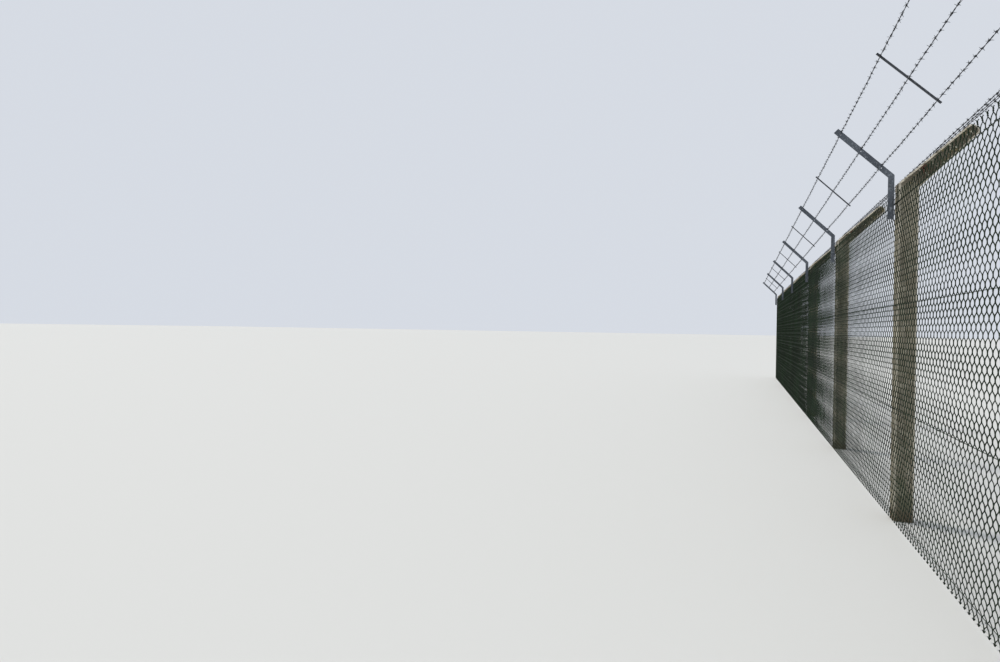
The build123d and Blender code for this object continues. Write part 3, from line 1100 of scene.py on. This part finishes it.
class FENCE_OT_hang_fabric(bpy.types.Operator):
    """Staples the line wires to the posts, ties the fabric to them and laces its top"""

    bl_idname = "fence.hang_fabric"
    bl_label = "Hang the fabric"

    def execute(self, context):
        look = context.scene.fence_fixings
        fabric = context.scene.fence_fabric
        tree = bent_wire_tree()
        material = coated_wire_material(fabric)
        wire_radius = (LINE_WIRE_HIGH.y - LINE_WIRE_LOW.y) / 2
        wire_y = (LINE_WIRE_HIGH.y + LINE_WIRE_LOW.y) / 2
        wire_gap = LINE_WIRE_HEIGHTS[1] - LINE_WIRE_HEIGHTS[0]
        first = Vector((STAPLE_PLACE, wire_y, LINE_WIRE_HEIGHTS[0]))
        width = wire_radius + look.staple_diameter / 2
        points = hairpin(width, wire_radius * 4, width, Vector((0, 0, 1)), Vector((0, -1, 0)))
        values = {
            **post_grid(first, len(LINE_WIRES), (0, 0, wire_gap)),
            "Wire Radius": ring_radius(look.staple_diameter, 4),
            "Wire Sides": 4,
            "Material": material,
        }
        route = route_mesh("staple_route", points)
        keep(grow("line_wire_staples", tree, values, route), "line_wire")

        pairs = round(BAY_LENGTH / fabric.diamond_width)
        diamond = BAY_LENGTH / pairs
        rear = (FABRIC_HIGH.y - FABRIC_LOW.y) / 2
        reach = wire_radius + look.tie_diameter / 2
        loop = coil(1.0, 0.0, look.tie_diameter * 1.3, 1.25, Vector((0, 1, 0)), Vector((0, 0, 1)))
        points = [(p.x, p.y * (reach + rear / 3) - rear / 3, p.z * reach) for p in loop]
        tie_gap = round(pairs / look.ties_per_bay) * diamond
        values.update(
            {
                "Start": (POST_PLACES[0] + diamond / 2, wire_y, LINE_WIRE_HEIGHTS[0]),
                "Columns": int((POST_PLACES[-1] - POST_PLACES[0]) / tie_gap),
                "Column Step": (tie_gap, 0, 0),
                "Wire Radius": ring_radius(look.tie_diameter, 3),
                "Wire Sides": 3,
            }
        )
        keep(grow("fabric_ties", tree, values, route_mesh("tie_route", points)), "line_wire")

        values = {
            "Start": (POST_PLACES[0], wire_y - reach / 2, LINE_WIRE_HEIGHTS[-1]),
            "Length": POST_PLACES[-1] - POST_PLACES[0],
            "Ring Gap": diamond / COIL_STEPS,
            "Lay": diamond,
            "Ply Offset": reach + look.tie_diameter,
            "Ply Radius": ring_radius(look.tie_diameter, 3),
            "Ply Sides": 3,
            "Material": material,
        }
        keep(grow("top_lacing", lacing_tree(), values), "line_wire")
        return {"FINISHED"}


class FENCE_OT_set_stage(bpy.types.Operator):
    """Sets a pale floor, soft light and the camera"""

    bl_idname = "fence.set_stage"
    bl_label = "Set the stage"

    def execute(self, context):
        scene = context.scene
        set_floor(scene)
        set_light(scene)
        set_camera(scene, scene.fence_camera)
        return {"FINISHED"}


FLOOR_HALF = 400.0
FLOOR_DROP = 0.0005


def set_floor(scene):
    """A plain pale floor far wider than the fence."""
    mesh = bpy.data.meshes.new("floor")
    corners = [(-FLOOR_HALF, -FLOOR_HALF), (FLOOR_HALF, -FLOOR_HALF)]
    corners += [(FLOOR_HALF, FLOOR_HALF), (-FLOOR_HALF, FLOOR_HALF)]
    mesh.from_pydata([(x, y, -FLOOR_DROP) for x, y in corners], [], [(0, 1, 2, 3)])
    floor = bpy.data.objects.new("floor", mesh)
    scene.collection.objects.link(floor)
    material = bpy.data.materials.new("pale_floor")
    material.use_nodes = True
    shader = material.node_tree.nodes["Principled BSDF"]
    shader.inputs["Base Color"].default_value = (0.62, 0.62, 0.6, 1)
    shader.inputs["Roughness"].default_value = 0.9
    mesh.materials.append(material)


SKY_STRENGTH = 0.9
KEY_STRENGTH = 2.0
KEY_ANGLE = math.radians(12)


def set_light(scene):
    """A pale sky all round and one broad soft key light from outside the fence."""
    world = bpy.data.worlds.new("studio")
    world.use_nodes = True
    background = world.node_tree.nodes["Background"]
    background.inputs["Color"].default_value = (0.75, 0.79, 0.86, 1)
    background.inputs["Strength"].default_value = SKY_STRENGTH
    scene.world = world
    scene.view_settings.view_transform = "Standard"
    lamp = bpy.data.lights.new("key", "SUN")
    lamp.energy = KEY_STRENGTH
    lamp.angle = KEY_ANGLE
    lamp.color = (1.0, 0.96, 0.88)
    key = bpy.data.objects.new("key", lamp)
    towards = Vector((0.25, 0.55, -0.8))
    key.rotation_euler = towards.to_track_quat("-Z", "Y").to_euler()
    scene.collection.objects.link(key)


SENSOR_WIDTH = 36.0


def set_camera(scene, view):
    """The camera at the photograph's place, turned by its heading, dip and roll."""
    level = math.cos(view.dip)
    along, across = -math.cos(view.heading), -math.sin(view.heading)
    forward = Vector((along * level, across * level, -math.sin(view.dip)))
    right = Vector((-math.sin(view.heading), math.cos(view.heading), 0))
    up = right.cross(forward)
    rolled_right = right * math.cos(view.roll) + up * math.sin(view.roll)
    rolled_up = up * math.cos(view.roll) - right * math.sin(view.roll)
    data = bpy.data.cameras.new("camera")
    data.sensor_width = SENSOR_WIDTH
    data.lens = SENSOR_WIDTH * view.focal_share
    data.clip_end = 2000
    camera = bpy.data.objects.new("camera", data)
    turn = Matrix((rolled_right, rolled_up, -forward)).transposed()
    camera.matrix_world = Matrix.Translation(view.place) @ turn.to_4x4()
    scene.collection.objects.link(camera)
    scene.camera = camera


class FENCE_PT_panel(bpy.types.Panel):
    """Lists the steps that dress the fence"""

    bl_label = "Fence"
    bl_idname = "FENCE_PT_panel"
    bl_space_type = "VIEW_3D"
    bl_region_type = "UI"
    bl_category = "Fence"

    def draw(self, context):
        for operator in OPERATORS:
            self.layout.operator(operator.bl_idname)


SETTINGS = {
    "fence_concrete": ConcreteSettings,
    "fence_steel": SteelSettings,
    "fence_fabric": FabricSettings,
    "fence_strands": StrandSettings,
    "fence_fixings": FixingSettings,
    "fence_camera": CameraSettings,
}
OPERATORS = (
    FENCE_OT_finish_concrete,
    FENCE_OT_finish_steel,
    FENCE_OT_weave_fabric,
    FENCE_OT_wind_strands,
    FENCE_OT_fit_bolts,
    FENCE_OT_tie_strands,
    FENCE_OT_hang_fabric,
    FENCE_OT_set_stage,
)


def register():
    """Registers the settings, the operators and the panel."""
    for name, group in SETTINGS.items():
        bpy.utils.register_class(group)
        setattr(bpy.types.Scene, name, PointerProperty(type=group))
    for operator in OPERATORS:
        bpy.utils.register_class(operator)
    bpy.utils.register_class(FENCE_PT_panel)


def unregister():
    """Takes away what register added."""
    bpy.utils.unregister_class(FENCE_PT_panel)
    for operator in reversed(OPERATORS):
        bpy.utils.unregister_class(operator)
    for name, group in SETTINGS.items():
        delattr(bpy.types.Scene, name)
        bpy.utils.unregister_class(group)


def main():
    """Dresses the whole fence."""
    register()
    bpy.ops.fence.finish_concrete()
    bpy.ops.fence.finish_steel()
    bpy.ops.fence.weave_fabric()
    bpy.ops.fence.wind_strands()
    bpy.ops.fence.fit_bolts()
    bpy.ops.fence.tie_strands()
    bpy.ops.fence.hang_fabric()
    bpy.ops.fence.set_stage()


if __name__ == "__main__":
    main()
